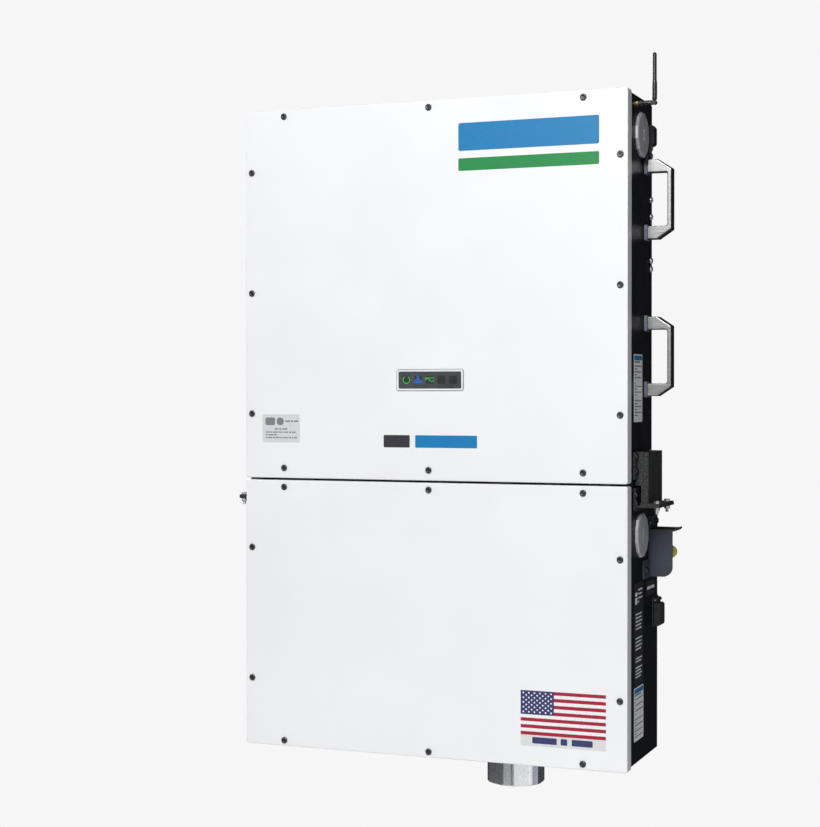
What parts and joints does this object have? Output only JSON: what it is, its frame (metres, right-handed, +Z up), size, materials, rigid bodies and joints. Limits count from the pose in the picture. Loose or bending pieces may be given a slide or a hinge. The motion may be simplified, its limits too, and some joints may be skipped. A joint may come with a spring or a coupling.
{
  "type": "string inverter",
  "caption": "Wall-hung two-part string inverter: sealed power head with indicator panel and lift handles above a deeper wiring box with side disconnect, flap switch and conduit hub.",
  "frame": {"origin": "centre of the wall bracket's four-bolt pattern, on the wall plane", "axes": "+X to the viewer's right across the front, +Y from the front covers into the wall, +Z up"},
  "size_m": [0.7, 0.2526, 1.1055],
  "materials": {
    "white_powder_coat": "satin powder coat",
    "black_paint": "glossy black paint",
    "zinc_sheet": "zinc plated sheet",
    "aluminium_handle": "satin aluminium",
    "sink_aluminium": "extruded aluminium",
    "dark_bracket": "textured dark paint",
    "guard_paint": "slate grey paint",
    "dark_screw": "black oxide",
    "bright_screw": "bright zinc",
    "plug_metal": "cast and plated",
    "hub_metal": "die-cast aluminium",
    "gasket_rubber": "soft foam rubber",
    "bezel_plastic": "satin",
    "smoked_window": "smoked clear plastic",
    "led_lens": "lit lens",
    "circuit_board": "solder mask",
    "module_case": "moulded",
    "capacitor_can": "sleeved can",
    "copper_winding": "enamelled copper",
    "choke_core": "varnished core",
    "fan_plastic": "moulded",
    "brass": "gold plated",
    "antenna_plastic": "moulded",
    "black_rubber": "moulded",
    "switch_plastic": "moulded",
    "yellow_plastic": "moulded",
    "holder_plastic": "moulded",
    "terminal_plastic": "moulded",
    "arrester_plastic": "moulded"
  },
  "bodies": {
    "inverter": {"wall_bracket": "zinc_sheet", "hanger_brackets": "zinc_sheet", "power_head_housing": "black_paint", "power_head_cover": "white_powder_coat", "power_head_gasket": "gasket_rubber", "power_cover_screws": "dark_screw", "display_bezel": "bezel_plastic", "display_window": "smoked_window", "display_board": "circuit_board", "indicator_leds": "led_lens", "heat_sink": "sink_aluminium", "heat_sink_shroud": "black_paint", "fan_tray": "zinc_sheet", "fan_frames": "fan_plastic", "power_board": "circuit_board", "power_modules": "module_case", "dc_link_capacitors": "capacitor_can", "boost_inductors": "copper_winding", "filter_chokes": "choke_core", "control_board": "circuit_board", "wiring_box_housing": "black_paint", "wiring_box_gasket": "gasket_rubber", "joining_collar": "gasket_rubber", "joint_bracket_upper_right": "dark_bracket", "joint_bracket_upper_left": "dark_bracket", "joint_bracket_lower_right": "dark_bracket", "joint_bracket_lower_left": "dark_bracket", "joint_bolts": "bright_screw", "side_screws": "bright_screw", "handle_upper_right": "aluminium_handle", "handle_upper_left": "aluminium_handle", "handle_lower_right": "aluminium_handle", "handle_lower_left": "aluminium_handle", "plug_upper_right": "plug_metal", "plug_upper_left": "plug_metal", "plug_lower_right": "plug_metal", "plug_lower_left": "plug_metal", "conduit_hub": "hub_metal", "hub_locknut": "zinc_sheet", "antenna_connector": "brass", "port_cover": "black_rubber", "disconnect_switch": "switch_plastic", "disconnect_guard": "guard_paint", "switch_base": "switch_plastic", "switch_hinge_pin": "bright_screw", "dc_fuse_holders": "holder_plastic", "terminal_blocks": "terminal_plastic", "surge_protectors": "arrester_plastic", "ground_bar": "brass"},
    "wiring_cover": {"wiring_box_cover": "white_powder_coat", "wiring_cover_screws": "dark_screw"},
    "fan_left": {"fan_rotor_left": "fan_plastic"},
    "fan_centre": {"fan_rotor_centre": "fan_plastic"},
    "fan_right": {"fan_rotor_right": "fan_plastic"},
    "antenna_swivel": {"antenna_elbow": "antenna_plastic"},
    "antenna": {"antenna_rod": "antenna_plastic"},
    "disconnect": {"disconnect_shaft": "zinc_sheet", "disconnect_handle": "yellow_plastic"},
    "switch_flap": {"switch_cover": "switch_plastic"},
    "rocker": {"switch_rocker": "switch_plastic"}
  },
  "joints": [
    {"name": "wiring_cover_lift_off", "type": "slide", "parent": "inverter", "child": "wiring_cover", "axis": [0, -1, 0], "range_m": [0, 0.3]},
    {"name": "fan_left_spin", "type": "hinge", "parent": "inverter", "child": "fan_left", "pos_m": [-0.15, -0.057, -0.319], "axis": [0, 0, 1], "continuous": true},
    {"name": "fan_centre_spin", "type": "hinge", "parent": "inverter", "child": "fan_centre", "pos_m": [0, -0.057, -0.319], "axis": [0, 0, 1], "continuous": true},
    {"name": "fan_right_spin", "type": "hinge", "parent": "inverter", "child": "fan_right", "pos_m": [0.15, -0.057, -0.319], "axis": [0, 0, 1], "continuous": true},
    {"name": "antenna_turn", "type": "hinge", "parent": "inverter", "child": "antenna_swivel", "pos_m": [0.315, -0.1925, 0.2245], "axis": [1, 0, 0], "range_deg": [-170, 170]},
    {"name": "antenna_tilt", "type": "hinge", "parent": "antenna_swivel", "child": "antenna", "pos_m": [0.3355, -0.1925, 0.2245], "axis": [0, 1, 0], "range_deg": [0, 90]},
    {"name": "disconnect_turn", "type": "hinge", "parent": "inverter", "child": "disconnect", "pos_m": [0.308, -0.085, -0.45], "axis": [1, 0, 0], "range_deg": [0, 90]},
    {"name": "switch_flap_lift", "type": "hinge", "parent": "inverter", "child": "switch_flap", "pos_m": [0.313, -0.075, -0.524], "axis": [0, -1, 0], "range_deg": [0, 110]},
    {"name": "rocker_tilt", "type": "hinge", "parent": "inverter", "child": "rocker", "pos_m": [0.308, -0.075, -0.546], "axis": [0, 1, 0], "range_deg": [0, 24]}
  ]
}
